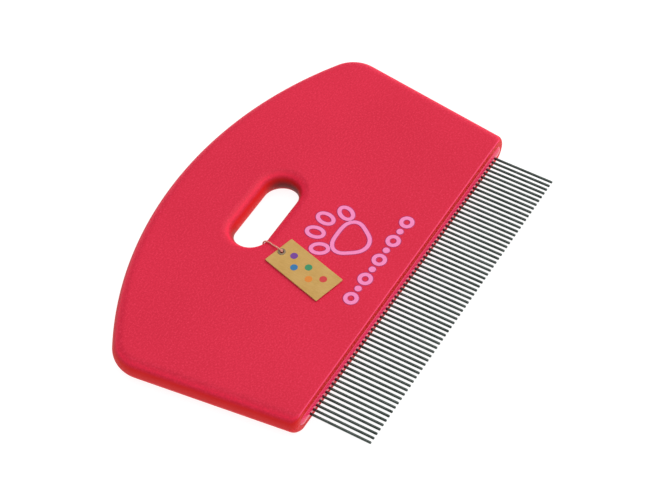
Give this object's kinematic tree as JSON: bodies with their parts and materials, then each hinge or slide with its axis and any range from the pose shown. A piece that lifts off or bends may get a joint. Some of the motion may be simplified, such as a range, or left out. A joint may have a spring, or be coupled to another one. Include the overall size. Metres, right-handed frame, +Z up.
{
  "type": "flea comb",
  "caption": "Flat fan-shaped pet comb with a soft-touch two-shell handle, a finger slot, a moulded core holding a row of fine steel pins, and a small blank swing tag.",
  "frame": {"origin": "on the surface that the comb lies on, under the middle of its overall width and of its overall depth from pin tips to back arc", "axes": "+Z up through the thickness, +X along the front edge, pins pointing to -Y and the rounded back of the handle to +Y"},
  "size_m": [0.1008, 0.0742, 0.0072],
  "materials": {
    "grip_red": "fine-grained soft-touch matte",
    "core_pink": "smooth satin gloss",
    "pin_steel": "drawn stainless wire",
    "motif_ink": "pad-printed ink",
    "string_salmon": "thin twisted thread",
    "eyelet_brass": "antique brass",
    "card_kraft": "uncoated kraft card"
  },
  "bodies": {
    "comb": {"grip_top": "grip_red", "grip_bottom": "grip_red", "core": "core_pink", "pins": "pin_steel", "printed_motif": "motif_ink", "tag_anchor": "string_salmon"},
    "tag": {"tag_string": "string_salmon", "tag_eyelet": "eyelet_brass", "tag_card": "card_kraft"}
  },
  "joints": [
    {"name": "tag_swing", "type": "hinge", "parent": "comb", "child": "tag", "pos_m": [-0.00711, 0.01013, 0.006], "axis": [0, 0, 1], "range_deg": [-60, 75]}
  ]
}
